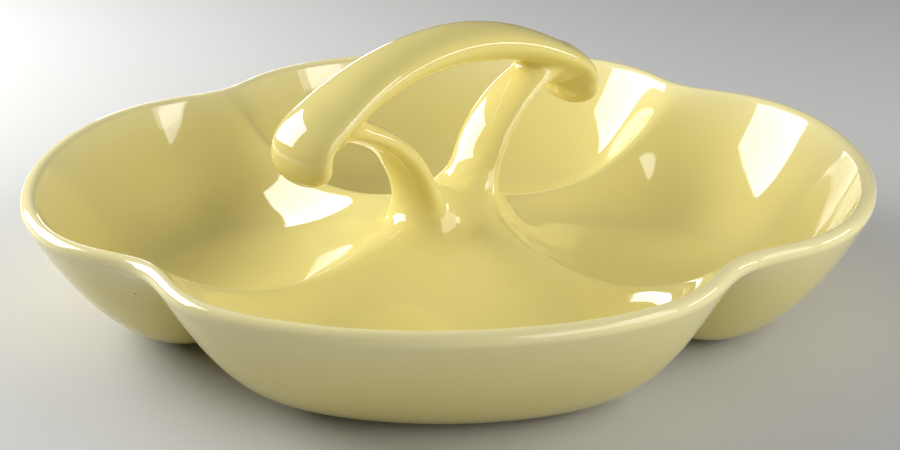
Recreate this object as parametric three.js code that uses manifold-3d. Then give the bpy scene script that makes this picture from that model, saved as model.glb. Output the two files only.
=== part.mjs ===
// Four-lobed ceramic relish dish with an arched carrying handle.
// Millimetres, +Z up, origin on the table under the dish's centre.
// The handle stands in the vertical plane through two opposite notches of the rim.

import * as THREE from 'three';
import { mergeVertices } from 'three/addons/utils/BufferGeometryUtils.js';
import Module from 'manifold-3d';

// Dish: outline and heights
const dishWidth = 419; // over the lip, across two opposite lobes
const rimHeight = 69; // top of the lip
const lipThickness = 8.4;
const notchDepth = 22; // how far the rim is pinched in between two lobes
const notchSpread = 42; // along the rim, from the notch's middle to about half its depth
const floorThickness = 5; // clay left under the lowest point of a well
const footGrind = 2; // ground off each lobe's underside so that it stands flat
const shellFade = 6; // a larger power keeps the walls free of the lip's rounding further out

// Dish: wells, ridges and hub
const wellLowRadius = 132; // where a well is lowest, along its lobe's axis
const wallPower = 2.4; // a larger power makes the well flatter and its wall steeper
const ridgeDip = 31.8; // lowest point of a ridge, below the middle of the lip
const ridgeLowRadius = 98; // where a ridge is lowest
const ridgePower = 2;
const ridgeSpread = 17; // how far a ridge's flank reaches into the well
const grooveSpread = 13; // the same for the groove under a ridge
const crestRadius = 8; // rounding along the top of a ridge
const axisEase = 4; // a larger power keeps the rounding nearer to a well's middle line
const hubRadius = 24.4; // rounding of the hub where the four ridges meet

// Handle, measured out from its own middle, which stands a little off the dish's axis
const handleShift = 2; // towards the near end

// Handle legs
const legFootOut = 18;
const legKneeOut = 21;
const legTopOut = 80.5;
const legKneeDrop = 14.5; // from the leg's top down to its bend
const legThickness = 13; // in the handle's plane
const legWidth = 32; // across the handle's plane
const legTopWidth = 23; // narrower where it runs into the grip
const legTaperPower = 3; // a larger power keeps the taper nearer to the top
const legFootFlare = 3.3; // added all round at the foot
const legFlareReach = 10; // height over which the flare dies away

// Handle grip
const gripTop = 138.3; // overall height of the dish
const gripThickness = 20; // in the handle's plane, at the crown
const gripEndThickness = 15;
const gripWidth = 32; // across the handle's plane, at the crown
const gripEndWidth = 40.5;
const gripTaperPower = 2; // a larger power keeps the crown's section further out
const gripArchRadius = 165; // of the grip's middle line
const gripArchReach = 84; // half span of the arch before its ends turn down
const gripHookRadius = 15; // of the middle line, where the ends turn down
const gripCapLength = 12; // rounded end beyond the hook

// Slip joints
const slipThickness = 1.5;
const slipBead = 1; // how far the slip stands out round a leg
const seatGap = 0.3;

const handleAngle = Math.PI / 4;
const lobeAngle = Math.PI / 4; // from a lobe's axis to its ridge
const halfLip = lipThickness / 2;
const rimMiddle = rimHeight - halfLip;
const halfWidth = dishWidth / 2;

// Mesh fineness
const dishSteps = 80;
const wellRings = 20;
const ringCrowding = 1.2; // above 1 it moves the wells' rings in towards the hub
const slopeStep = 0.01; // share of the way out over which the wall's slope at the lip is taken
const undersideRings = 16;
const lipRings = 6;
const legRings = 16;
const legSides = 20;
const archRings = 22;
const hookRings = 7;
const capRings = 6;
const gripSides = 24;

const wasm = await Module();
wasm.setup();

// The glaze is one colour all over; the slip in the joints shows a little warmer through it.
const glaze = new THREE.MeshStandardMaterial({ color: 0xdccf85, roughness: 0.12, metalness: 0 });
const slipGlaze = new THREE.MeshStandardMaterial({ color: 0xd8c877, roughness: 0.16, metalness: 0 });

// Angle to the nearest ridge, from 0 on a ridge to lobeAngle on a lobe's axis.
function angleFromRidge(angle) {
  const turn = 2 * lobeAngle;
  const within = THREE.MathUtils.euclideanModulo(angle, turn);
  return Math.abs(within - lobeAngle);
}

function outlineRadius(angle) {
  const pinch = 1 / Math.cosh((halfWidth * angleFromRidge(angle)) / notchSpread) ** 2;
  return halfWidth - notchDepth * pinch;
}

// Depth below the lip at a share of the way out: full depth at lowShare, none at the rim.
function depthAt(share, depth, lowShare, power) {
  const hubShare = hubRadius / halfWidth;
  const soft = Math.sqrt(hubShare ** 2 + (1 - hubShare ** 2) * share ** 2);
  if (soft < lowShare) {
    return depth * (1 - (1 - soft / lowShare) ** 2);
  }
  return depth * (1 - ((soft - lowShare) / (1 - lowShare)) ** power);
}

// Height of the wells' surface at a share of the way from the axis out to the rim. The angle from the ridge
// is eased off towards the lobe's axis, so that the well's two halves meet there without a crease.
function bowlHeight(share, angle, flankSpread) {
  const ridgeDepth = depthAt(share, ridgeDip, ridgeLowRadius / (halfWidth - notchDepth), ridgePower);
  const wellDepth = rimMiddle - floorThickness;
  const lobeDepth = depthAt(share, wellDepth, wellLowRadius / halfWidth, wallPower);
  const bare = angleFromRidge(angle);
  const eased = bare * (1 - (bare / lobeAngle) ** axisEase / (axisEase + 1));
  const aside = share * outlineRadius(angle) * eased;
  const flank = Math.hypot(aside, crestRadius) - crestRadius;
  const intoWell = 1 - Math.exp(-flank / flankSpread);
  return rimMiddle - ridgeDepth - (lobeDepth - ridgeDepth) * intoWell;
}

// Where the lip's round section runs into the walls without a crease: how far the walls lean out, the two
// radii, and how far the inner one lies above the lip's middle and the outer one below it.
function lipSection(angle) {
  const rise = (rimMiddle - bowlHeight(1 - slopeStep, angle, ridgeSpread)) / slopeStep;
  const lean = Math.atan2(outlineRadius(angle), rise);
  const middle = outlineRadius(angle) - halfLip;
  const reach = halfLip * Math.cos(lean);
  return { lean, middle, inner: middle - reach, outer: middle + reach, lift: halfLip * Math.sin(lean) };
}

function wellHeight(share, angle) {
  return bowlHeight(share, angle, ridgeSpread) + lipSection(angle).lift * share ** shellFade;
}

// Underside: the wells' surface less the shell's thickness, ground flat where it meets the table.
function undersideHeight(share, angle) {
  const shell = THREE.MathUtils.lerp(floorThickness + footGrind, lipSection(angle).lift, share ** shellFade);
  return Math.max(0, bowlHeight(share, angle, grooveSpread) - shell);
}

// Rings of points, each closed, joined into one skin with a point at each end.
function skinGeometry(first, rings, last) {
  const sides = rings[0].length;
  const positions = [first, ...rings.flat(), last].flatMap((point) => point.toArray());
  const ringStart = (ring) => 1 + ring * sides;
  const lastIndex = ringStart(rings.length);
  const faces = [];
  for (let side = 0; side < sides; side += 1) {
    const next = (side + 1) % sides;
    faces.push(0, ringStart(0) + side, ringStart(0) + next);
    for (let ring = 0; ring < rings.length - 1; ring += 1) {
      const here = ringStart(ring);
      const there = ringStart(ring + 1);
      faces.push(here + side, there + side, there + next);
      faces.push(here + side, there + next, here + next);
    }
    const end = ringStart(rings.length - 1);
    faces.push(lastIndex, end + next, end + side);
  }
  const geometry = new THREE.BufferGeometry();
  geometry.setAttribute('position', new THREE.Float32BufferAttribute(positions, 3));
  geometry.setIndex(faces);
  return geometry;
}

function polarPoint(radius, angle, height) {
  return new THREE.Vector3(radius * Math.cos(angle), radius * Math.sin(angle), height);
}

// The dish's closed shell. With raise, its upper surface is lifted and everything under that is filled
// down to the table, which gives a cutter for what seats on it.
function dishGeometry(raise = 0) {
  const angles = Array.from({ length: dishSteps }, (_, step) => (step / dishSteps) * 2 * Math.PI);
  const below = raise > 0 ? () => 0 : undersideHeight;
  const rings = [];
  for (let ring = 1; ring <= wellRings; ring += 1) {
    const share = Math.sin((ring / wellRings) * (Math.PI / 2)) ** ringCrowding;
    rings.push(angles.map((angle) => {
      return polarPoint(share * lipSection(angle).inner, angle, wellHeight(share, angle) + raise);
    }));
  }
  for (let ring = 1; ring <= lipRings; ring += 1) {
    rings.push(angles.map((angle) => {
      const { lean, middle } = lipSection(angle);
      const turn = Math.PI * (1 - ring / (lipRings + 1)) - lean;
      const height = rimMiddle + halfLip * Math.sin(turn);
      return polarPoint(middle + halfLip * Math.cos(turn), angle, height + raise);
    }));
  }
  for (let ring = undersideRings; ring >= 1; ring -= 1) {
    const share = Math.sin((ring / undersideRings) * (Math.PI / 2));
    rings.push(angles.map((angle) => {
      return polarPoint(share * lipSection(angle).outer, angle, below(share, angle));
    }));
  }
  const hubTop = new THREE.Vector3(0, 0, wellHeight(0, 0) + raise);
  const hubUnderside = new THREE.Vector3(0, 0, below(0, 0));
  return skinGeometry(hubTop, rings, hubUnderside);
}

// Oval tube along points in the handle's plane, each with its tangent and half sizes.
function ovalTube(stations, sides) {
  const across = new THREE.Vector3(0, 1, 0);
  const rings = stations.slice(1, -1).map(({ middle, tangent, halfThick, halfWide }) => {
    const inPlane = new THREE.Vector3().crossVectors(across, tangent);
    return Array.from({ length: sides }, (_, side) => {
      const turn = (side / sides) * 2 * Math.PI;
      return middle.clone()
        .addScaledVector(inPlane, halfThick * Math.cos(turn))
        .addScaledVector(across, halfWide * Math.sin(turn));
    });
  });
  const tube = skinGeometry(stations[0].middle, rings.map((ring) => ring.reverse()), stations.at(-1).middle);
  return tube.translate(-handleShift, 0, 0).rotateZ(handleAngle);
}

// Height of the grip's middle line above the table, at a distance out from the handle's middle.
function gripMiddleHeight(out) {
  const crown = gripTop - gripThickness / 2;
  return crown - gripArchRadius + Math.sqrt(gripArchRadius ** 2 - out ** 2);
}

// Half of the grip's middle line, from its crown to the tip of one scroll end.
function gripHalfStations(grow) {
  const tilt = Math.asin(gripArchReach / gripArchRadius);
  const station = (out, up, slope, shrink) => {
    const taper = Math.min(1, slope / tilt) ** gripTaperPower;
    const thickness = THREE.MathUtils.lerp(gripThickness, gripEndThickness, taper);
    const width = THREE.MathUtils.lerp(gripWidth, gripEndWidth, taper);
    return {
      middle: new THREE.Vector3(out, 0, up),
      tangent: new THREE.Vector3(Math.cos(slope), 0, -Math.sin(slope)),
      halfThick: (thickness / 2) * shrink + grow,
      halfWide: (width / 2) * shrink + grow,
    };
  };
  const stations = [];
  for (let ring = 0; ring <= archRings / 2; ring += 1) {
    const slope = (tilt * ring) / (archRings / 2);
    const out = gripArchRadius * Math.sin(slope);
    stations.push(station(out, gripMiddleHeight(out), slope, 1));
  }
  const hookCentreOut = gripArchReach - gripHookRadius * Math.sin(tilt);
  const hookCentreUp = gripMiddleHeight(gripArchReach) - gripHookRadius * Math.cos(tilt);
  for (let ring = 1; ring <= hookRings; ring += 1) {
    const slope = THREE.MathUtils.lerp(tilt, Math.PI / 2, ring / hookRings);
    const out = hookCentreOut + gripHookRadius * Math.sin(slope);
    const up = hookCentreUp + gripHookRadius * Math.cos(slope);
    stations.push(station(out, up, slope, 1));
  }
  const tipOut = hookCentreOut + gripHookRadius;
  for (let ring = 1; ring <= capRings; ring += 1) {
    const turn = (ring / capRings) * (Math.PI / 2);
    const down = (gripCapLength + grow) * Math.sin(turn);
    stations.push(station(tipOut, hookCentreUp - down, Math.PI / 2, Math.cos(turn)));
  }
  return stations;
}

function gripGeometry(grow = 0) {
  const half = gripHalfStations(grow);
  const mirrored = half.slice(1).reverse().map((station) => ({
    ...station,
    middle: station.middle.clone().multiply(new THREE.Vector3(-1, 1, 1)),
    tangent: station.tangent.clone().multiply(new THREE.Vector3(1, 1, -1)),
  }));
  return ovalTube([...mirrored, ...half], gripSides);
}

// One leg's tube, from under the hub's surface to the grip's middle line. side is -1 near, 1 far.
function legGeometry(side, grow = 0) {
  const hubUp = wellHeight(legFootOut / lipSection(lobeAngle).inner, lobeAngle);
  const foot = new THREE.Vector3(legFootOut, 0, hubUp - floorThickness);
  const top = new THREE.Vector3(legTopOut, 0, gripMiddleHeight(legTopOut));
  const knee = new THREE.Vector3(legKneeOut, 0, top.z - legKneeDrop);
  const bend = new THREE.QuadraticBezierCurve3(foot, knee, top);
  const mirror = new THREE.Vector3(side, 1, 1);
  const stations = Array.from({ length: legRings }, (_, ring) => {
    const along = ring / (legRings - 1);
    const middle = bend.getPoint(along);
    const flare = legFootFlare * Math.exp(-Math.max(0, middle.z - hubUp) / legFlareReach);
    const width = THREE.MathUtils.lerp(legWidth, legTopWidth, along ** legTaperPower);
    return {
      middle: middle.multiply(mirror),
      tangent: bend.getTangent(along).multiply(mirror),
      halfThick: legThickness / 2 + flare + grow,
      halfWide: width / 2 + flare + grow,
    };
  });
  return ovalTube([stations[0], ...stations, stations.at(-1)], legSides);
}

function toSolid(geometry) {
  const bare = geometry.clone();
  bare.deleteAttribute('normal');
  bare.deleteAttribute('uv');
  const merged = mergeVertices(bare);
  return new wasm.Manifold(new wasm.Mesh({
    numProp: 3,
    vertProperties: merged.attributes.position.array,
    triVerts: new Uint32Array(merged.index.array),
  }));
}

function fromSolid(solid) {
  const mesh = solid.getMesh();
  const geometry = new THREE.BufferGeometry();
  geometry.setAttribute('position', new THREE.BufferAttribute(mesh.vertProperties, 3));
  geometry.setIndex(new THREE.BufferAttribute(mesh.triVerts, 1));
  return geometry;
}

function addPiece(parent, name, geometry, material) {
  geometry.computeVertexNormals();
  const mesh = new THREE.Mesh(geometry, material);
  mesh.name = name;
  parent.add(mesh);
}

const relishDish = new THREE.Group();
addPiece(relishDish, 'dish_body', dishGeometry(), glaze);

const handle = new THREE.Group();
relishDish.add(handle);

// The slip fills the space between a casting's surface plus one gap and its surface plus gap and slip.
const slipTop = seatGap + slipThickness;
const dishSeat = toSolid(dishGeometry(seatGap));
const dishSlip = toSolid(dishGeometry(slipTop));
const dishClear = toSolid(dishGeometry(slipTop + seatGap));
const gripSeat = toSolid(gripGeometry(seatGap));
const gripSlip = toSolid(gripGeometry(slipTop));
const gripClear = toSolid(gripGeometry(slipTop + seatGap));

for (const [name, side] of [['near', -1], ['far', 1]]) {
  const leg = toSolid(legGeometry(side));
  const bead = toSolid(legGeometry(side, slipBead));
  addPiece(handle, `${name}_foot_joint`, fromSolid(bead.intersect(dishSlip).subtract(dishSeat)), slipGlaze);
  addPiece(handle, `${name}_leg`, fromSolid(leg.subtract(dishClear).subtract(gripClear)), glaze);
  addPiece(handle, `${name}_top_joint`, fromSolid(bead.intersect(gripSlip).subtract(gripSeat)), slipGlaze);
}
addPiece(handle, 'handle_grip', gripGeometry(), glaze);

export default relishDish;
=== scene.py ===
"""Looks of a lobed relish dish in pale yellow glazed pottery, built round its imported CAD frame."""

import math

import bpy
import numpy as np
from mathutils import Matrix


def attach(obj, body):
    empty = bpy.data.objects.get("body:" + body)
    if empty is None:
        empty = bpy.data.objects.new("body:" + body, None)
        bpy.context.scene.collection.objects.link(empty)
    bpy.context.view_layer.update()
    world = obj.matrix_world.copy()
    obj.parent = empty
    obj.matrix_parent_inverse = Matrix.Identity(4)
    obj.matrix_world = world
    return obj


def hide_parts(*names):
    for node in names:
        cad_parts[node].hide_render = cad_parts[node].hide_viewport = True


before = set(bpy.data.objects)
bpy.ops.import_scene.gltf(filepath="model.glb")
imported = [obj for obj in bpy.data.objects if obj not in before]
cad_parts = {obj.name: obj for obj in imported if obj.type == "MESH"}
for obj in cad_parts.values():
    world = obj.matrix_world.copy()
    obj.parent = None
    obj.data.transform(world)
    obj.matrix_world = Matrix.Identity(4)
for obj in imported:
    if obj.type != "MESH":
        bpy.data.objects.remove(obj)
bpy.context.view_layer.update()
scene = bpy.context.scene


# Camera: a portrait-length lens a little under a metre from the dish, at standing height over a table.
# It looks down at the wells, is turned slightly to its left and leans by about a degree.
lens_mm = 71.48
sensor_mm = 36.0
camera_place = (0.0179, -0.8444, 0.3590)
camera_turn = math.radians(-1.17)
camera_tilt = math.radians(20.99)
camera_lean = math.radians(-0.91)

level = np.array([math.cos(camera_turn), -math.sin(camera_turn), 0.0])
ahead = np.array([
    math.sin(camera_turn) * math.cos(camera_tilt),
    math.cos(camera_turn) * math.cos(camera_tilt),
    -math.sin(camera_tilt),
])
upright = np.cross(level, ahead)
camera_right = math.cos(camera_lean) * level + math.sin(camera_lean) * upright
camera_up = math.cos(camera_lean) * upright - math.sin(camera_lean) * level
camera_data = bpy.data.cameras.new("photo_camera")
camera_data.lens = lens_mm
camera_data.sensor_width = sensor_mm
camera_data.sensor_fit = "HORIZONTAL"
camera = bpy.data.objects.new("photo_camera", camera_data)
camera.matrix_world = Matrix([
    (*row, place) for row, place in zip(np.column_stack([camera_right, camera_up, -ahead]), camera_place)
] + [(0, 0, 0, 1)])
scene.collection.objects.link(camera)
scene.camera = camera


# Dish body: one slip-cast shell of pale earthenware with four deep wells, rounded ridges that meet at a
# raised hub, and a rolled lip pinched in at each ridge. It is dipped in glaze, so the coat is thin and pale
# along the lip and a little deeper in the wells, and each lobe's underside is ground flat where it stands.
dish_sizes = {
    "Width": 0.419,
    "Rim Height": 0.069,
    "Lip": 0.0084,
    "Notch Depth": 0.022,
    "Notch Spread": 0.042,
    "Floor": 0.005,
    "Foot Grind": 0.002,
    "Shell Fade": 6.0,
    "Well Low Radius": 0.132,
    "Wall Power": 2.4,
    "Ridge Dip": 0.0318,
    "Ridge Low Radius": 0.098,
    "Ridge Power": 2.0,
    "Ridge Spread": 0.017,
    "Groove Spread": 0.013,
    "Crest Radius": 0.008,
    "Axis Ease": 4.0,
    "Hub Radius": 0.0244,
    "Foot Rounding": 0.0015,
    "Hand Waviness": 0.00025,
}
steps_round = 480
well_rings = 116
lip_rings = 12
underside_rings = 48
lobe_angle = math.pi / 4
slope_step = 0.01
wave_scale = 15.0
lip_thinning = 26.0
outer_thinning = 16.0
well_crowding = 1.2
weld = 0.00002
glaze_full = (0.79, 0.69, 0.255, 1.0)
glaze_pale = (0.82, 0.74, 0.38, 1.0)
glaze_deep = (0.75, 0.64, 0.215, 1.0)
glaze_ior = 1.52
cloud_scale = 14.0
cloud_detail = 3.0
rub_scale = 45.0
rub_detail = 4.0
rub_range = (0.3, 0.75)
roughness_range = (0.035, 0.085)
ripple_scale = 70.0
ripple_detail = 2.0
ripple_strength = 0.06
ripple_depth = 0.0008
pinhole_scale = 160.0
pinhole_radius = 0.085
pinhole_brown = (0.23, 0.17, 0.07, 1.0)
pinholes_on_dish = 0.006


class Field:
    """A geometry-nodes value that the dish's rule can be written with in plain arithmetic."""

    def __init__(self, tree, socket):
        self.tree = tree
        self.socket = socket

    def math(self, operation, *others):
        node = self.tree.nodes.new("ShaderNodeMath")
        node.operation = operation
        for slot, value in zip(node.inputs, (self, *others)):
            if isinstance(value, Field):
                self.tree.links.new(value.socket, slot)
            else:
                slot.default_value = value
        return Field(self.tree, node.outputs[0])

    def __add__(self, other):
        return self.math("ADD", other)

    def __sub__(self, other):
        return self.math("SUBTRACT", other)

    def __mul__(self, other):
        return self.math("MULTIPLY", other)

    def __truediv__(self, other):
        return self.math("DIVIDE", other)

    def __pow__(self, other):
        return self.math("POWER", other)

    def less_from(self, number):
        return (self * -1.0) + number


def new_tree(name, sizes):
    """A geometry-nodes tree with one named input for each size, a material input and one geometry output."""
    tree = bpy.data.node_groups.new(name, "GeometryNodeTree")
    tree.is_modifier = True
    for size_name, value in sizes.items():
        socket = tree.interface.new_socket(size_name, in_out="INPUT", socket_type="NodeSocketFloat")
        socket.default_value = value
    tree.interface.new_socket("Glaze", in_out="INPUT", socket_type="NodeSocketMaterial")
    tree.interface.new_socket("Geometry", in_out="OUTPUT", socket_type="NodeSocketGeometry")
    inputs = tree.nodes.new("NodeGroupInput")
    fields = {size_name: Field(tree, inputs.outputs[size_name]) for size_name in sizes}
    return tree, inputs, fields


def add_node(tree, kind, links=(), **settings):
    """A node with its settings made and its inputs linked, from pairs of socket and value."""
    node = tree.nodes.new(kind)
    for key, value in settings.items():
        setattr(node, key, value)
    for slot, value in links:
        if isinstance(value, Field):
            tree.links.new(value.socket, node.inputs[slot])
        elif isinstance(value, bpy.types.NodeSocket):
            tree.links.new(value, node.inputs[slot])
        else:
            node.inputs[slot].default_value = value
    return node


dish_tree, dish_inputs, size = new_tree("lobed_dish", dish_sizes)
half_width = size["Width"] * 0.5
half_lip = size["Lip"] * 0.5
rim_middle = size["Rim Height"] - half_lip

# Each skin of the shell is a flat grid: across it runs the way out from the hub, along it the way round.
place = add_node(dish_tree, "GeometryNodeInputPosition")
parts = add_node(dish_tree, "ShaderNodeSeparateXYZ", [(0, place.outputs[0])])
out_share = Field(dish_tree, parts.outputs[0]) + 0.5
turn = (Field(dish_tree, parts.outputs[1]) + 0.5) * (2 * math.pi)
from_ridge = (turn.math("FLOORED_MODULO", 2 * lobe_angle) - lobe_angle).math("ABSOLUTE")
pinch = (half_width * from_ridge / size["Notch Spread"]).math("COSH") ** -2.0
outline = half_width - size["Notch Depth"] * pinch


def depth_at(share, depth, low, power):
    """Depth below the lip at a share of the way out: full at low, none at the rim, rounded off at the hub."""
    hub = (size["Hub Radius"] / half_width) ** 2.0
    soft = (hub + hub.less_from(1.0) * share ** 2.0).math("SQRT")
    wall = ((soft - low) / low.less_from(1.0)).math("MAXIMUM", 0.0) ** power
    slope = (soft / low).less_from(1.0).math("MAXIMUM", 0.0) ** 2.0
    return depth * (wall + slope).less_from(1.0)


def bowl_height(share, spread):
    """Height of the wells' surface: the ridge's line on a diagonal, falling away into the well beside it."""
    ridge_low = size["Ridge Low Radius"] / (half_width - size["Notch Depth"])
    ridge = depth_at(share, size["Ridge Dip"], ridge_low, size["Ridge Power"])
    well_low = size["Well Low Radius"] / half_width
    well = depth_at(share, rim_middle - size["Floor"], well_low, size["Wall Power"])
    ease = (from_ridge / lobe_angle) ** size["Axis Ease"] / (size["Axis Ease"] + 1.0)
    aside = share * outline * from_ridge * ease.less_from(1.0)
    crest = size["Crest Radius"]
    flank = (aside ** 2.0 + crest ** 2.0).math("SQRT") - crest
    into_well = (flank / spread * -1.0).math("EXPONENT").less_from(1.0)
    return rim_middle - ridge - (well - ridge) * into_well


def skin(rings, radius, height, thinness):
    """One skin of the shell, with how thin the glaze is on it as an attribute."""
    grid = add_node(dish_tree, "GeometryNodeMeshGrid", [
        ("Size X", 1.0), ("Size Y", 1.0), ("Vertices X", rings + 1), ("Vertices Y", steps_round + 1),
    ])
    noted = add_node(dish_tree, "GeometryNodeStoreNamedAttribute", [
        ("Geometry", grid.outputs[0]), ("Name", "thin_glaze"), ("Value", thinness),
    ], data_type="FLOAT", domain="POINT")
    point = add_node(dish_tree, "ShaderNodeCombineXYZ", [
        (0, radius * turn.math("COSINE")), (1, radius * turn.math("SINE")), (2, height),
    ])
    placed = add_node(dish_tree, "GeometryNodeSetPosition", [
        ("Geometry", noted.outputs[0]), ("Position", point.outputs[0]),
    ])
    return placed.outputs[0]


# The lip's round section runs into both walls without a crease, at the angle by which they lean out there.
just_inside = out_share * 0.0 + (1.0 - slope_step)
wall_rise = (rim_middle - bowl_height(just_inside, size["Ridge Spread"])) / slope_step
lean = outline.math("ARCTAN2", wall_rise)
lip_middle = outline - half_lip
lip_reach = half_lip * lean.math("COSINE")
lip_lift = half_lip * lean.math("SINE")

well_share = (out_share * (math.pi / 2)).math("SINE") ** well_crowding
well_skin = skin(
    well_rings, well_share * (lip_middle - lip_reach),
    bowl_height(well_share, size["Ridge Spread"]) + lip_lift * well_share ** size["Shell Fade"],
    well_share ** lip_thinning)

lip_turn = out_share.less_from(1.0) * math.pi - lean
lip_skin = skin(
    lip_rings, lip_middle + half_lip * lip_turn.math("COSINE"),
    rim_middle + half_lip * lip_turn.math("SINE"), out_share * 0.0 + 1.0)

under_share = (out_share.less_from(1.0) * (math.pi / 2)).math("SINE")
fade = under_share ** size["Shell Fade"]
shell = (size["Floor"] + size["Foot Grind"]) * fade.less_from(1.0) + lip_lift * fade
under_height = bowl_height(under_share, size["Groove Spread"]) - shell
under_skin = skin(
    underside_rings, under_share * (lip_middle + lip_reach),
    under_height.math("SMOOTH_MAX", 0.0, size["Foot Rounding"]).math("MAXIMUM", 0.0),
    under_share ** outer_thinning)

together = add_node(dish_tree, "GeometryNodeJoinGeometry")
for surface in (well_skin, lip_skin, under_skin):
    dish_tree.links.new(surface, together.inputs[0])
welded = add_node(dish_tree, "GeometryNodeMergeByDistance", [
    ("Geometry", together.outputs[0]), ("Distance", weld)])
wave = add_node(dish_tree, "ShaderNodeTexNoise", [("Scale", wave_scale), ("Detail", 0.0)])
lift = (Field(dish_tree, wave.outputs["Fac"]) - 0.5) * size["Hand Waviness"]
height_now = add_node(dish_tree, "ShaderNodeSeparateXYZ", [(0, place.outputs[0])])
clear_of_foot = (Field(dish_tree, height_now.outputs[2]) / size["Floor"]).math("MINIMUM", 1.0)
outward = add_node(dish_tree, "GeometryNodeInputNormal")
offset = add_node(dish_tree, "ShaderNodeVectorMath", [
    (0, outward.outputs[0]), ("Scale", lift * clear_of_foot)], operation="SCALE")
hand_made = add_node(dish_tree, "GeometryNodeSetPosition", [
    ("Geometry", welded.outputs[0]), ("Offset", offset.outputs[0])])
smooth = add_node(dish_tree, "GeometryNodeSetShadeSmooth", [("Geometry", hand_made.outputs[0])])
realized = add_node(dish_tree, "GeometryNodeRealizeInstances", [("Geometry", smooth.outputs[0])])
coated = add_node(dish_tree, "GeometryNodeSetMaterial", [
    ("Geometry", realized.outputs[0]), ("Material", dish_inputs.outputs["Glaze"])])
add_node(dish_tree, "NodeGroupOutput", [(0, coated.outputs[0])])


def glaze_material(name, full, pale, deep, pinhole_share):
    """Gloss glaze on pottery: deeper where it is thick, pale where it is thin, with a few pinholes."""
    material = bpy.data.materials.new(name)
    material.use_nodes = True
    tree = material.node_tree
    shader = tree.nodes["Principled BSDF"]
    where = add_node(tree, "ShaderNodeTexCoord").outputs["Object"]
    cloud = add_node(tree, "ShaderNodeTexNoise", [
        ("Vector", where), ("Scale", cloud_scale), ("Detail", cloud_detail)])
    clouded = add_node(tree, "ShaderNodeMix", [
        (0, cloud.outputs["Fac"]), (6, deep), (7, full)], data_type="RGBA")
    thin = add_node(tree, "ShaderNodeAttribute", attribute_name="thin_glaze")
    thinned = add_node(tree, "ShaderNodeMix", [
        (0, thin.outputs["Fac"]), (6, clouded.outputs[2]), (7, pale)], data_type="RGBA")
    cells = add_node(tree, "ShaderNodeTexVoronoi", [("Vector", where), ("Scale", pinhole_scale)])
    near = add_node(tree, "ShaderNodeMath", [
        (0, cells.outputs["Distance"]), (1, pinhole_radius)], operation="LESS_THAN")
    lottery = add_node(tree, "ShaderNodeSeparateColor", [(0, cells.outputs["Color"])])
    drawn = add_node(tree, "ShaderNodeMath", [
        (0, lottery.outputs[0]), (1, pinhole_share)], operation="LESS_THAN")
    speck = add_node(tree, "ShaderNodeMath", [
        (0, near.outputs[0]), (1, drawn.outputs[0])], operation="MULTIPLY")
    speckled = add_node(tree, "ShaderNodeMix", [
        (0, speck.outputs[0]), (6, thinned.outputs[2]), (7, pinhole_brown)], data_type="RGBA")
    tree.links.new(speckled.outputs[2], shader.inputs["Base Color"])
    rub = add_node(tree, "ShaderNodeTexNoise", [
        ("Vector", where), ("Scale", rub_scale), ("Detail", rub_detail)])
    gloss = add_node(tree, "ShaderNodeMapRange", [
        ("Value", rub.outputs["Fac"]), ("From Min", rub_range[0]), ("From Max", rub_range[1]),
        ("To Min", roughness_range[0]), ("To Max", roughness_range[1])])
    tree.links.new(gloss.outputs[0], shader.inputs["Roughness"])
    ripple = add_node(tree, "ShaderNodeTexNoise", [
        ("Vector", where), ("Scale", ripple_scale), ("Detail", ripple_detail)])
    pit = add_node(tree, "ShaderNodeMath", [
        (0, ripple.outputs["Fac"]), (1, speck.outputs[0])], operation="SUBTRACT")
    bump = add_node(tree, "ShaderNodeBump", [
        ("Height", pit.outputs[0]), ("Strength", ripple_strength), ("Distance", ripple_depth)])
    tree.links.new(bump.outputs[0], shader.inputs["Normal"])
    shader.inputs["IOR"].default_value = glaze_ior
    return material


glaze = glaze_material("yellow_glaze", glaze_full, glaze_pale, glaze_deep, pinholes_on_dish)


def nodes_to_mesh(name, tree, material, sizes):
    """Runs a tree on an empty mesh with its sizes set, and keeps the result as a plain mesh object."""
    empty = bpy.data.objects.new(name + "_tree", bpy.data.meshes.new(name + "_tree"))
    scene.collection.objects.link(empty)
    modifier = empty.modifiers.new(name, "NODES")
    modifier.node_group = tree
    for item in tree.interface.items_tree:
        if item.in_out == "INPUT":
            modifier[item.identifier] = material if item.name == "Glaze" else sizes[item.name]
    evaluated = empty.evaluated_get(bpy.context.evaluated_depsgraph_get())
    piece = bpy.data.objects.new(name, bpy.data.meshes.new_from_object(evaluated))
    piece.data.name = name
    bpy.data.objects.remove(empty)
    scene.collection.objects.link(piece)
    return piece


dish = nodes_to_mesh("glazed_dish", dish_tree, glaze, dish_sizes)
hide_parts("dish_body")
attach(dish, "root")


# Handle: a cast crescent grip luted with slip onto two cast legs, which are luted to the hub in the same way.
# The slip was sponged to smooth fillets and all of it was glazed over, so the surface has no seams. It is
# made here as one skin, from the form of the grip, then of the legs, then of the fillets between them.
handle_angle = math.pi / 4
handle_shift = 0.002
half_span = dish_sizes["Width"] / 2
tiny = 1e-9


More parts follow.
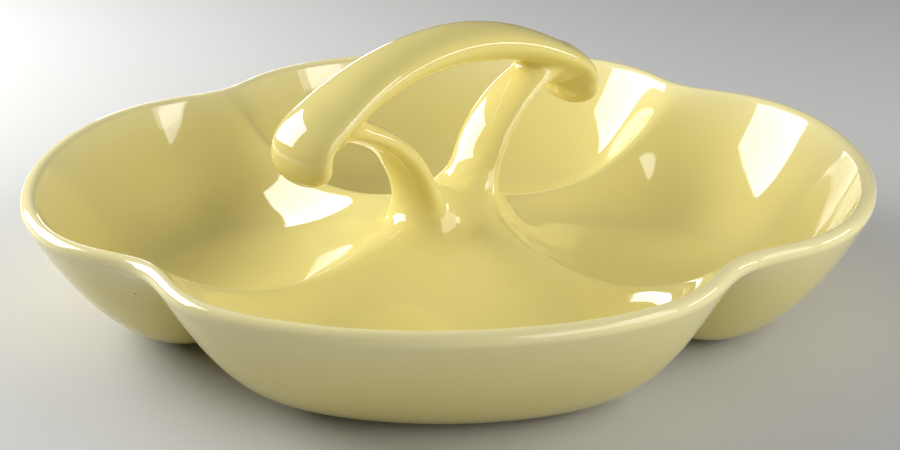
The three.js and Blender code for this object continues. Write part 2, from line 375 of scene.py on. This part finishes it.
def dish_height(x, y):
    """The wells' surface again, as plain numbers, for the feet to stand on."""
    middle_up = dish_sizes["Rim Height"] - dish_sizes["Lip"] / 2
    angle = np.arctan2(y, x)
    ridge_angle = np.abs(np.mod(angle, 2 * lobe_angle) - lobe_angle)
    pinched = np.cosh(half_span * ridge_angle / dish_sizes["Notch Spread"]) ** -2
    edge = half_span - dish_sizes["Notch Depth"] * pinched

    def depth(share, full, low, power):
        hub = (dish_sizes["Hub Radius"] / half_span) ** 2
        soft = np.sqrt(hub + (1 - hub) * share ** 2)
        wall = np.maximum((soft - low) / (1 - low), 0) ** power
        return full * (1 - wall - np.maximum(1 - soft / low, 0) ** 2)

    def bowl(share):
        ridge_low = dish_sizes["Ridge Low Radius"] / (half_span - dish_sizes["Notch Depth"])
        ridge = depth(share, dish_sizes["Ridge Dip"], ridge_low, dish_sizes["Ridge Power"])
        well_low = dish_sizes["Well Low Radius"] / half_span
        well = depth(share, middle_up - dish_sizes["Floor"], well_low, dish_sizes["Wall Power"])
        crest = dish_sizes["Crest Radius"]
        power = dish_sizes["Axis Ease"]
        eased = ridge_angle * (1 - (ridge_angle / lobe_angle) ** power / (power + 1))
        flank = np.hypot(share * edge * eased, crest) - crest
        return middle_up - ridge - (well - ridge) * (1 - np.exp(-flank / dish_sizes["Ridge Spread"]))

    leaning = np.arctan2(edge, (middle_up - bowl(1 - slope_step)) / slope_step)
    out_to_lip = edge - dish_sizes["Lip"] / 2 * (1 + np.cos(leaning))
    return bowl(np.hypot(x, y) / out_to_lip)


def oval_distance(offsets, halves):
    """Distance from an oval's surface, true close to it, for offsets and half sizes along its axes."""
    inner = np.sqrt(sum((o / h) ** 2 for o, h in zip(offsets, halves))) + tiny
    steep = np.sqrt(sum((o / h ** 2) ** 2 for o, h in zip(offsets, halves))) + tiny
    return (inner - 1) * inner / steep


grip_top = 0.1383
grip_half_thick = 0.010
grip_end_half_thick = 0.0075
grip_half_wide = 0.016
grip_end_half_wide = 0.02025
taper_ease = 0.85
arch_radius = 0.165
arch_reach = 0.084
hook_radius = 0.015
cap_length = 0.012
arch_middle = grip_top - grip_half_thick - arch_radius
arch_tilt = math.asin(arch_reach / arch_radius)
hook_out = arch_reach - hook_radius * math.sin(arch_tilt)
hook_up = arch_middle + (arch_radius - hook_radius) * math.cos(arch_tilt)


def grip_distance(out, across, up):
    """From the grip: an arch along the handle's plane whose ends turn down into blunt round tips."""
    out = np.abs(out)
    swing = np.arctan2(out, up - arch_middle)
    past_arch = arch_radius * np.maximum(swing - arch_tilt, 0)
    share = np.minimum(swing / arch_tilt, 1)
    taper = np.where(share < taper_ease, share ** 2 / taper_ease, 1 - (1 - share) ** 2 / (1 - taper_ease))
    thick = grip_half_thick + (grip_end_half_thick - grip_half_thick) * taper
    wide = grip_half_wide + (grip_end_half_wide - grip_half_wide) * taper
    from_line = np.hypot(out, up - arch_middle) - arch_radius
    arch = oval_distance((from_line, across, past_arch), (thick, wide, grip_end_half_thick))
    above = np.maximum(up - hook_up, 0)
    before_hook = hook_radius * np.maximum(arch_tilt - np.arctan2(out - hook_out, above), 0)
    offset = np.where(
        up > hook_up, np.hypot(out - hook_out, above), out - hook_out) - hook_radius
    beyond = before_hook / grip_end_half_thick * cap_length + np.maximum(hook_up - up, 0)
    hook = oval_distance((offset, across, beyond), (grip_end_half_thick, grip_end_half_wide, cap_length))
    return np.minimum(arch, hook)


leg_foot_out = 0.018
leg_knee_out = 0.021
leg_top_out = 0.0805
leg_knee_drop = 0.0145
leg_half_thick = 0.0065
leg_half_wide = 0.016
leg_top_half_wide = 0.0115
leg_taper_power = 3
leg_tries = 25
leg_refinements = 4
least_bend = 1e-5
foot_height = float(dish_height(leg_foot_out * math.cos(handle_angle), leg_foot_out * math.sin(handle_angle)))
leg_top_up = arch_middle + math.sqrt(arch_radius ** 2 - leg_top_out ** 2)
leg_points = np.array([
    (leg_foot_out, foot_height - dish_sizes["Floor"]),
    (leg_knee_out, leg_top_up - leg_knee_drop),
    (leg_top_out, leg_top_up),
])


def leg_distance(out, across, up):
    """From a leg: an oval strap along a bend that rises from the hub and leans out under the grip."""
    out = np.abs(out)
    foot, knee, top = leg_points
    turn_out, turn_up = foot - 2 * knee + top
    start_out, start_up = knee - foot

    def line(t):
        return (foot[0] + 2 * start_out * t + turn_out * t * t, foot[1] + 2 * start_up * t + turn_up * t * t)

    best = np.zeros(np.broadcast(out, up).shape)
    nearest = np.full(best.shape, np.inf)
    for t in np.linspace(0, 1, leg_tries):
        along_out, along_up = line(t)
        gap = (out - along_out) ** 2 + (up - along_up) ** 2
        best = np.where(gap < nearest, t, best)
        nearest = np.minimum(gap, nearest)
    for _ in range(leg_refinements):
        along_out, along_up = line(best)
        slope_out = 2 * (start_out + turn_out * best)
        slope_up = 2 * (start_up + turn_up * best)
        pull = (along_out - out) * slope_out + (along_up - up) * slope_up
        bend = slope_out ** 2 + slope_up ** 2
        bend = bend + 2 * ((along_out - out) * turn_out + (along_up - up) * turn_up)
        best = np.clip(best - pull / np.maximum(bend, least_bend), 0, 1)
    along_out, along_up = line(best)
    wide = leg_half_wide + (leg_top_half_wide - leg_half_wide) * best ** leg_taper_power
    return oval_distance((np.hypot(out - along_out, up - along_up), across), (leg_half_thick, wide))


top_fillet = 0.010
web_fillet = 0.032
web_slope = 0.5
web_depth = 0.010
web_out = (0.078, 0.092)
web_across = (0.006, 0.022)
foot_fillet = 0.018
saddle_fillet = 0.046
saddle_out = (0.008, 0.030)
saddle_across = (0.008, 0.036)
height_step = 0.0005


def melt(a, b, reach):
    """Smooth union of two distances, as slip fills the corner between two castings."""
    near = np.maximum(reach - np.abs(a - b), 0) / reach
    return np.minimum(a, b) - near ** 3 * reach / 6


def hub_distance(out, across, up):
    """From the dish's upper surface, in the handle's own directions."""
    c, s = math.cos(handle_angle), math.sin(handle_angle)

    def height(o, a):
        o = o - handle_shift
        return dish_height(o * c - a * s, o * s + a * c)

    rise_out = (height(out + height_step, across) - height(out - height_step, across)) / (2 * height_step)
    rise_across = (height(out, across + height_step) - height(out, across - height_step)) / (2 * height_step)
    return (up - height(out, across)) / np.sqrt(1 + rise_out ** 2 + rise_across ** 2)


def ease(value, low, high):
    """Grows smoothly from 0 at low to 1 at high."""
    share = np.clip((value - low) / (high - low), 0, 1)
    return share * share * (3 - 2 * share)


def top_reach(out, across, up):
    """Reach of the slip under the grip: a tight corner inside the handle, a round web from leg to hook."""
    out = np.abs(out)
    below_leg = leg_top_up - up - web_slope * (leg_top_out - out)
    web = ease(below_leg, 0, web_depth)
    web = web * (1 - ease(out, *web_out)) * (1 - ease(np.abs(across), *web_across))
    return top_fillet + (web_fillet - top_fillet) * web


def foot_reach(out, across):
    """Reach of the slip round the feet, which runs together into a saddle between them."""
    saddle = (1 - ease(np.abs(out), *saddle_out)) * (1 - ease(np.abs(across), *saddle_across))
    return foot_fillet + (saddle_fillet - foot_fillet) * saddle


def handle_distance(out, across, up):
    """From the whole handle with its fillets, and the dish that it runs into."""
    above = melt(grip_distance(out, across, up), leg_distance(out, across, up), top_reach(out, across, up))
    return melt(above, hub_distance(out, across, up), foot_reach(out, across))


skin_cell = 0.001
skin_low = np.array([-0.103, -0.050, 0.030])
skin_counts = (207, 101, 112)
slope_reach = 0.0001
slip_on_grip = 0.0003
slip_down_leg = 0.005
slip_up_leg = 0.006
slip_edge = 0.00005
seat_sink = 0.0003
bend_step = 0.0015
edge_curl = 150.0
edge_curl_span = 500.0
edge_thinning = 0.6


def skin_of(field, lows, counts):
    """Points and quads of the surface where a sampled field is zero: one point in each cell it crosses."""
    inside = field < 0
    corners = np.stack(np.meshgrid((0, 1), (0, 1), (0, 1), indexing="ij"), -1).reshape(-1, 3)
    trimmed = tuple(n - 1 for n in counts)

    def at(corner, array):
        return array[tuple(slice(c, c + n) for c, n in zip(corner, trimmed))]

    count = sum(at(corner, inside).astype(int) for corner in corners)
    crossed = (count > 0) & (count < len(corners))
    index = np.full(trimmed, -1)
    index[crossed] = np.arange(crossed.sum())
    cells = np.argwhere(crossed).astype(float)
    total = np.zeros_like(cells)
    edges = np.zeros(len(cells))
    for i, first in enumerate(corners):
        for second in corners[i + 1:]:
            if np.abs(first - second).sum() != 1:
                continue
            a = at(first, field)[crossed]
            b = at(second, field)[crossed]
            cut = (a < 0) != (b < 0)
            share = np.where(cut, a / np.where(cut, a - b, 1), 0)
            total += np.where(cut[:, None], first + share[:, None] * (second - first), 0)
            edges += cut
    points = lows + skin_cell * (cells + total / edges[:, None])
    quads = []
    for axis in range(3):
        ahead_slices = [slice(1, -1)] * 3
        back_slices = [slice(1, -1)] * 3
        ahead_slices[axis] = slice(1, None)
        back_slices[axis] = slice(0, -1)
        here = inside[tuple(back_slices)]
        there = inside[tuple(ahead_slices)]
        one, two = [k for k in range(3) if k != axis]
        found = np.argwhere(here != there)
        base = found + 1
        base[:, axis] = found[:, axis]
        ring = []
        for d_one, d_two in ((1, 1), (0, 1), (0, 0), (1, 0)):
            spot = base.copy()
            spot[:, one] -= d_one
            spot[:, two] -= d_two
            ring.append(index[tuple(spot.T)])
        ring = np.stack(ring, 1)
        outwards = here[tuple(found.T)] ^ (axis == 1)
        ring[~outwards] = ring[~outwards][:, ::-1]
        quads.append(ring)
    quads = np.concatenate(quads)
    return points, quads[(quads >= 0).all(1)]


def slope_of(points):
    """Direction in which the handle's field grows, at each point."""
    slopes = []
    for axis in np.eye(3) * slope_reach:
        ahead_of = handle_distance(*(points + axis).T)
        behind = handle_distance(*(points - axis).T)
        slopes.append((ahead_of - behind) / (2 * slope_reach))
    return np.stack(slopes, 1)


def settle(points, rounds=3):
    """Moves points onto the handle's true surface."""
    for _ in range(rounds):
        slope = slope_of(points)
        points = points - slope * (handle_distance(*points.T) / (slope ** 2).sum(1))[:, None]
    return points


def split_at(points, triangles, values):
    """Cuts triangles along the line where values are zero, so that each lies on one side of it."""
    side = values[triangles] > 0
    mixed = side.any(1) & ~side.all(1)
    kept = [triangles[~mixed]]
    pairs = {}
    made = []

    def between(i, j):
        key = (min(i, j), max(i, j))
        if key not in pairs:
            share = values[key[0]] / (values[key[0]] - values[key[1]])
            pairs[key] = len(points) + len(made)
            made.append(points[key[0]] + share * (points[key[1]] - points[key[0]]))
        return pairs[key]

    fresh = []
    for triangle in triangles[mixed]:
        up_side = values[triangle] > 0
        lone = np.nonzero(up_side if up_side.sum() == 1 else ~up_side)[0][0]
        a, b, c = np.roll(triangle, -lone)
        ab, ac = between(a, b), between(a, c)
        fresh += [(a, ab, ac), (ab, b, c), (ab, c, ac)]
    if made:
        points = np.concatenate([points, np.array(made)])
        kept.append(np.array(fresh))
    return points, np.concatenate(kept)


def clear_of_dish(points):
    """Grows from zero where the handle's surface leaves the dish."""
    return hub_distance(*points.T) - handle_distance(*points.T) - slip_edge


axis_lines = [low + skin_cell * np.arange(n) for low, n in zip(skin_low, skin_counts)]
sampled = handle_distance(*np.meshgrid(*axis_lines, indexing="ij", sparse=True))
handle_points, handle_quads = skin_of(sampled, skin_low, skin_counts)
handle_points = settle(handle_points)
triangles = np.concatenate([handle_quads[:, [0, 1, 2]], handle_quads[:, [0, 2, 3]]])
rising = clear_of_dish(handle_points)[triangles].max(1) > 0
triangles = triangles[rising]
for border in (
    clear_of_dish,
    lambda points: grip_distance(*points.T) - slip_on_grip,
    lambda points: grip_distance(*points.T) - slip_down_leg,
    lambda points: hub_distance(*points.T) - slip_up_leg,
):
    handle_points, triangles = split_at(handle_points, triangles, border(handle_points))
handle_points = settle(handle_points, 2)
handle_slopes = slope_of(handle_points)
handle_slopes /= np.linalg.norm(handle_slopes, axis=1)[:, None]
curl = sum(
    handle_distance(*(handle_points + axis).T) + handle_distance(*(handle_points - axis).T)
    for axis in np.eye(3) * bend_step) / bend_step ** 2
thin_on_handle = np.clip((curl - edge_curl) / edge_curl_span, 0, 1) * edge_thinning


def without_specks(shares):
    """Gives a lone triangle that touches none of its own share to the share beside it."""
    edges = np.sort(np.concatenate([triangles[:, [0, 1]], triangles[:, [1, 2]], triangles[:, [2, 0]]]))
    owners = np.tile(np.arange(len(triangles)), 3)
    order = np.lexsort(edges.T)
    edges, owners = edges[order], owners[order]
    shared = (edges[1:] == edges[:-1]).all(1)
    one, two = owners[:-1][shared], owners[1:][shared]
    agreeing = np.tile(shares[one] == shares[two], 2)
    lone = np.bincount(np.concatenate([one, two]), agreeing, len(triangles)) == 0
    cleaned = shares.copy()
    cleaned[one[lone[one]]] = shares[two[lone[one]]]
    cleaned[two[lone[two]]] = shares[one[lone[two]]]
    return cleaned


middles = handle_points[triangles].mean(1)
off_casting = grip_distance(*middles.T)
over_arch = np.hypot(middles[:, 0], middles[:, 2] - arch_middle) > arch_radius
handle_sides = (("near", middles[:, 0] < 0), ("far", middles[:, 0] > 0))
handle_shares = without_specks(np.select(
    [
        clear_of_dish(middles) <= 0,
        over_arch | (off_casting < slip_on_grip),
        off_casting < slip_down_leg,
        hub_distance(*middles.T) < slip_up_leg,
    ],
    ["dish", "grip", "top slip", "foot slip"],
    "leg"))


def handle_piece(name, wanted, material, seated=False):
    """One casting or slip joint of the handle: its share of the surface, closed where it meets the others.
    A seated one gets an underside that lies on the dish; the rest are closed to points in the castings."""
    own = triangles[wanted]
    used, own = np.unique(own, return_inverse=True)
    own = own.reshape(-1, 3)
    edges = np.concatenate([own[:, [0, 1]], own[:, [1, 2]], own[:, [2, 0]]]).tolist()
    known = {(a, b) for a, b in edges}
    rim = np.array([(a, b) for a, b in edges if (b, a) not in known])
    c, s = math.cos(handle_angle), math.sin(handle_angle)
    to_dish = np.array([(c, s, 0), (-s, c, 0), (0, 0, 1)])
    points = handle_points[used]
    facing = handle_slopes[used] @ to_dish
    thinness = thin_on_handle[used]
    if not seated:
        middle = points[rim].mean(1)
        off_grip = grip_distance(*middle.T)
        on_border = off_grip < (slip_on_grip + slip_down_leg) / 2
        upper = off_grip < hub_distance(*middle.T)
        for group in (
            on_border & (middle[:, 0] < 0), on_border & (middle[:, 0] > 0),
            ~on_border & upper, ~on_border & ~upper,
        ):
            if not group.any():
                continue
            tip = middle[group].mean(0)
            if on_border[group].all():
                tip = np.array([math.copysign(leg_top_out, tip[0]), 0.0, leg_top_up])
            tips = np.full(group.sum(), len(points))
            own = np.concatenate([own, np.column_stack([rim[group][:, ::-1], tips])])
            points = np.concatenate([points, [tip]])
            facing = np.concatenate([facing, [(0.0, 0.0, -1.0)]])
            thinness = np.concatenate([thinness, [0.0]])
    points = (points - np.array([handle_shift, 0, 0])) @ to_dish
    if seated:
        under = points.copy()
        under[:, 2] = dish_height(under[:, 0], under[:, 1]) - seat_sink
        n = len(points)
        own = np.concatenate([
            own, own[:, ::-1] + n,
            np.column_stack([rim[:, 1], rim[:, 0], rim[:, 0] + n]),
            np.column_stack([rim[:, 1], rim[:, 0] + n, rim[:, 1] + n])])
        points = np.concatenate([points, under])
        facing = np.concatenate([facing, np.tile((0.0, 0.0, -1.0), (n, 1))])
        thinness = np.concatenate([thinness, thinness])
    mesh = bpy.data.meshes.new(name)
    mesh.from_pydata(points.tolist(), [], own.tolist())
    thin = mesh.attributes.new("thin_glaze", "FLOAT", "POINT")
    thin.data.foreach_set("value", thinness.astype(np.float32))
    mesh.shade_smooth()
    mesh.normals_split_custom_set_from_vertices(facing.tolist())
    mesh.materials.append(material)
    piece = bpy.data.objects.new(name, mesh)
    scene.collection.objects.link(piece)
    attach(piece, "root")
    return piece


# Foot joints: the luting slip round each leg's foot, sponged to a fillet that runs out over the hub. Between
# the feet the two fillets meet in a saddle. The glaze is a little warmer on slip and has more pinholes.
slip_full = (0.78, 0.68, 0.245, 1.0)
slip_deep = (0.74, 0.62, 0.205, 1.0)
pinholes_on_slip = 0.03

slip_glaze = glaze_material("slip_glaze", slip_full, glaze_pale, slip_deep, pinholes_on_slip)
for side, towards in handle_sides:
    foot_slip = handle_piece(
        side + "_foot_slip", (handle_shares == "foot slip") & towards, slip_glaze, seated=True)
    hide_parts(side + "_foot_joint")


# Legs: two cast straps of oval section that rise from the hub, bend outward and end under the grip's hooks.
# They are narrower at the top, and glazed like the dish.
for side, towards in handle_sides:
    leg = handle_piece(side + "_cast_leg", (handle_shares == "leg") & towards, glaze)
    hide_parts(side + "_leg")


# Top joints: the luting slip between each leg and the grip, tight on the inner side of the handle.
# Towards the hook it is filled to a round web, so that the leg's underside sweeps into the hook.
for side, towards in handle_sides:
    top_slip = handle_piece(side + "_top_slip", (handle_shares == "top slip") & towards, slip_glaze)
    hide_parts(side + "_top_joint")


# Grip: a cast crescent, thickest in the middle and broadest at its ends, which droop as blunt hooks.
# A hand lifts the dish by it. The glaze is a little thinner where it turns sharply at the hooks.
grip = handle_piece("cast_grip", handle_shares == "grip", glaze)
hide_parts("handle_grip")


# Studio: a pale floor and soft boxes round the dish, as for a catalogue picture.
# A large box stands to the left and a little behind, a small one to the right and a wide dim one in front.
# A low strip at the right draws the line along the grip's edge, and one behind the streaks on the far walls.
floor_half = 3.0
floor_colour = (0.54, 0.54, 0.53, 1.0)
floor_roughness = 0.9
floor_sheen = 0.2
aim_height = 0.05
air_strength = 0.16

floor_mesh = bpy.data.meshes.new("studio_floor")
floor_mesh.from_pydata(
    [(-floor_half, -floor_half, 0), (floor_half, -floor_half, 0), (floor_half, floor_half, 0),
     (-floor_half, floor_half, 0)], [], [(0, 1, 2, 3)])
floor = bpy.data.objects.new("studio_floor", floor_mesh)
floor_paint = bpy.data.materials.new("pale_floor")
floor_paint.use_nodes = True
floor_shader = floor_paint.node_tree.nodes["Principled BSDF"]
floor_shader.inputs["Base Color"].default_value = floor_colour
floor_shader.inputs["Roughness"].default_value = floor_roughness
floor_shader.inputs["Specular IOR Level"].default_value = floor_sheen
floor_mesh.materials.append(floor_paint)
scene.collection.objects.link(floor)


def soft_box(name, azimuth, elevation, distance, wide, tall, power, roll=0):
    """A soft box aimed at the hub and rolled about its aim, with angles in degrees.
    Azimuth is from the camera's side and grows to the right."""
    lamp = bpy.data.lights.new(name, "AREA")
    lamp.shape = "RECTANGLE"
    lamp.size = wide
    lamp.size_y = tall
    lamp.energy = power
    box = bpy.data.objects.new(name, lamp)
    turn_round = math.radians(azimuth)
    rise = math.radians(elevation)
    aim = np.array([
        math.sin(turn_round) * math.cos(rise), -math.cos(turn_round) * math.cos(rise), math.sin(rise)])
    right = np.cross([0, 0, 1], aim)
    right /= np.linalg.norm(right)
    above = np.cross(aim, right)
    c, s = math.cos(math.radians(roll)), math.sin(math.radians(roll))
    axes = np.column_stack([c * right + s * above, c * above - s * right, aim])
    spot = aim * distance + np.array([0, 0, aim_height])
    box.matrix_world = Matrix([(*row, p) for row, p in zip(axes, spot)] + [(0, 0, 0, 1)])
    scene.collection.objects.link(box)


soft_box(
    "left_soft_box", azimuth=-113, elevation=24, distance=1.0, wide=0.80, tall=0.56, power=15.5, roll=15)
soft_box("right_soft_box", azimuth=64.5, elevation=42, distance=0.95, wide=0.33, tall=0.15, power=0.93)
soft_box("side_strip", azimuth=92, elevation=15, distance=1.0, wide=0.50, tall=0.12, power=1.5)
soft_box("front_fill", azimuth=48, elevation=26, distance=1.6, wide=1.60, tall=0.90, power=15.2)
soft_box("back_strip", azimuth=-164, elevation=3, distance=1.4, wide=0.32, tall=0.20, power=0.9)

sky = bpy.data.worlds.new("studio_air")
sky.use_nodes = True
sky.node_tree.nodes["Background"].inputs["Color"].default_value = (1.0, 1.0, 1.0, 1.0)
sky.node_tree.nodes["Background"].inputs["Strength"].default_value = air_strength
scene.world = sky
scene.view_settings.view_transform = "Standard"
